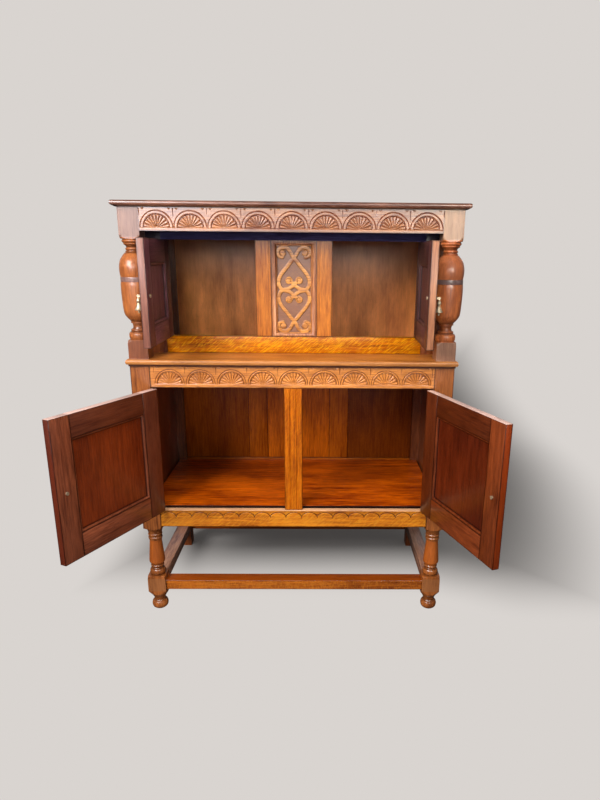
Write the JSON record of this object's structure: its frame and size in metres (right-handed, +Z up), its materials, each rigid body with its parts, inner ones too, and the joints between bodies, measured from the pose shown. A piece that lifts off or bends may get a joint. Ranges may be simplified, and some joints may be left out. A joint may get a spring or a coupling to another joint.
{
  "type": "court cupboard",
  "caption": "Oak court cupboard: stretchered turned legs, a panelled cupboard, and a recessed upper stage with carved panel under a hood on cup-and-cover columns.",
  "frame": {"origin": "middle of the footprint on the ground, with the doors standing open as stored", "axes": "+Z up, +Y towards the back, +X to the right as seen from the front"},
  "size_m": [1.3938, 1.0888, 1.556],
  "materials": {
    "oak_frame": "dark polished oak",
    "oak_panel": "dark polished oak, figured",
    "oak_board": "polished oak boards",
    "oak_carved": "dark polished oak, carved",
    "brass": "aged brass"
  },
  "bodies": {
    "carcass": {"back_leg_left": "oak_frame", "back_leg_right": "oak_frame", "back_stretcher": "oak_frame", "base_rail": "oak_carved", "carved_panel": "oak_carved", "centre_muntin": "oak_frame", "centre_stile_left": "oak_frame", "centre_stile_right": "oak_frame", "column_left": "oak_frame", "column_right": "oak_frame", "cupboard_floor": "oak_board", "door_strikes": "brass", "front_leg_left": "oak_frame", "front_leg_right": "oak_frame", "front_stretcher": "oak_frame", "hanging_stile_left": "oak_frame", "hanging_stile_right": "oak_frame", "hinge_leaves_fixed": "brass", "hood_side_rail_left": "oak_frame", "hood_side_rail_right": "oak_frame", "lower_back_frame": "oak_frame", "lower_back_panels": "oak_panel", "lower_frieze_rail": "oak_carved", "lower_side_panel_left": "oak_panel", "lower_side_panel_right": "oak_panel", "lower_side_rails_left": "oak_frame", "lower_side_rails_right": "oak_frame", "panel_mouldings": "oak_frame", "recess_base_rail": "oak_frame", "recess_head_rail": "oak_frame", "shelf_board": "oak_board", "side_stretcher_left": "oak_frame", "side_stretcher_right": "oak_frame", "soffit_board": "oak_board", "top_board": "oak_board", "upper_back_boards": "oak_board", "upper_back_rail": "oak_frame", "upper_frieze_rail": "oak_carved", "upper_side_panel_left": "oak_panel", "upper_side_panel_right": "oak_panel"},
    "lower_door_left": {"lower_door_left_frame": "oak_frame", "lower_door_left_panel": "oak_panel", "lower_door_left_hinge_leaves": "brass", "lower_door_left_handle_mount": "brass"},
    "lower_door_left_drop": {"lower_door_left_handle_drop": "brass"},
    "lower_door_right": {"lower_door_right_frame": "oak_frame", "lower_door_right_panel": "oak_panel", "lower_door_right_hinge_leaves": "brass", "lower_door_right_handle_mount": "brass"},
    "lower_door_right_drop": {"lower_door_right_handle_drop": "brass"},
    "upper_door_left": {"upper_door_left_frame": "oak_frame", "upper_door_left_panel": "oak_panel", "upper_door_left_hinge_leaves": "brass", "upper_door_left_handle_mount": "brass"},
    "upper_door_left_drop": {"upper_door_left_handle_drop": "brass"},
    "upper_door_right": {"upper_door_right_frame": "oak_frame", "upper_door_right_panel": "oak_panel", "upper_door_right_hinge_leaves": "brass", "upper_door_right_handle_mount": "brass"},
    "upper_door_right_drop": {"upper_door_right_handle_drop": "brass"}
  },
  "joints": [
    {"name": "lower_door_left_hinge", "type": "hinge", "parent": "carcass", "child": "lower_door_left", "pos_m": [-0.48943, -0.08258, 0.679], "axis": [0, 0, -1], "range_deg": [-115.6, 54.4]},
    {"name": "lower_door_left_drop_swing", "type": "hinge", "parent": "lower_door_left", "child": "lower_door_left_drop", "pos_m": [-0.68853, -0.4773, 0.676], "axis": [0.4321, 0.9018, 0], "range_deg": [0, 95]},
    {"name": "lower_door_right_hinge", "type": "hinge", "parent": "carcass", "child": "lower_door_right", "pos_m": [0.53757, -0.08258, 0.679], "axis": [0, 0, 1], "range_deg": [-108.8, 61.2]},
    {"name": "lower_door_right_drop_swing", "type": "hinge", "parent": "lower_door_right", "child": "lower_door_right_drop", "pos_m": [0.68853, -0.4981, 0.676], "axis": [0.3223, -0.9466, 0], "range_deg": [0, 95]},
    {"name": "upper_door_left_hinge", "type": "hinge", "parent": "carcass", "child": "upper_door_left", "pos_m": [-0.45793, 0.06742, 1.262], "axis": [0, 0, -1], "range_deg": [-89.4, 4]},
    {"name": "upper_door_left_drop_swing", "type": "hinge", "parent": "upper_door_left", "child": "upper_door_left_drop", "pos_m": [-0.46371, -0.24016, 1.256], "axis": [-0.0105, 0.9999, 0], "range_deg": [0, 95]},
    {"name": "upper_door_right_hinge", "type": "hinge", "parent": "carcass", "child": "upper_door_right", "pos_m": [0.50607, 0.06742, 1.262], "axis": [0, 0, 1], "range_deg": [-88.4, 5]},
    {"name": "upper_door_right_drop_swing", "type": "hinge", "parent": "upper_door_right", "child": "upper_door_right_drop", "pos_m": [0.50648, -0.24021, 1.256], "axis": [-0.0279, -0.9996, 0], "range_deg": [0, 95]}
  ]
}
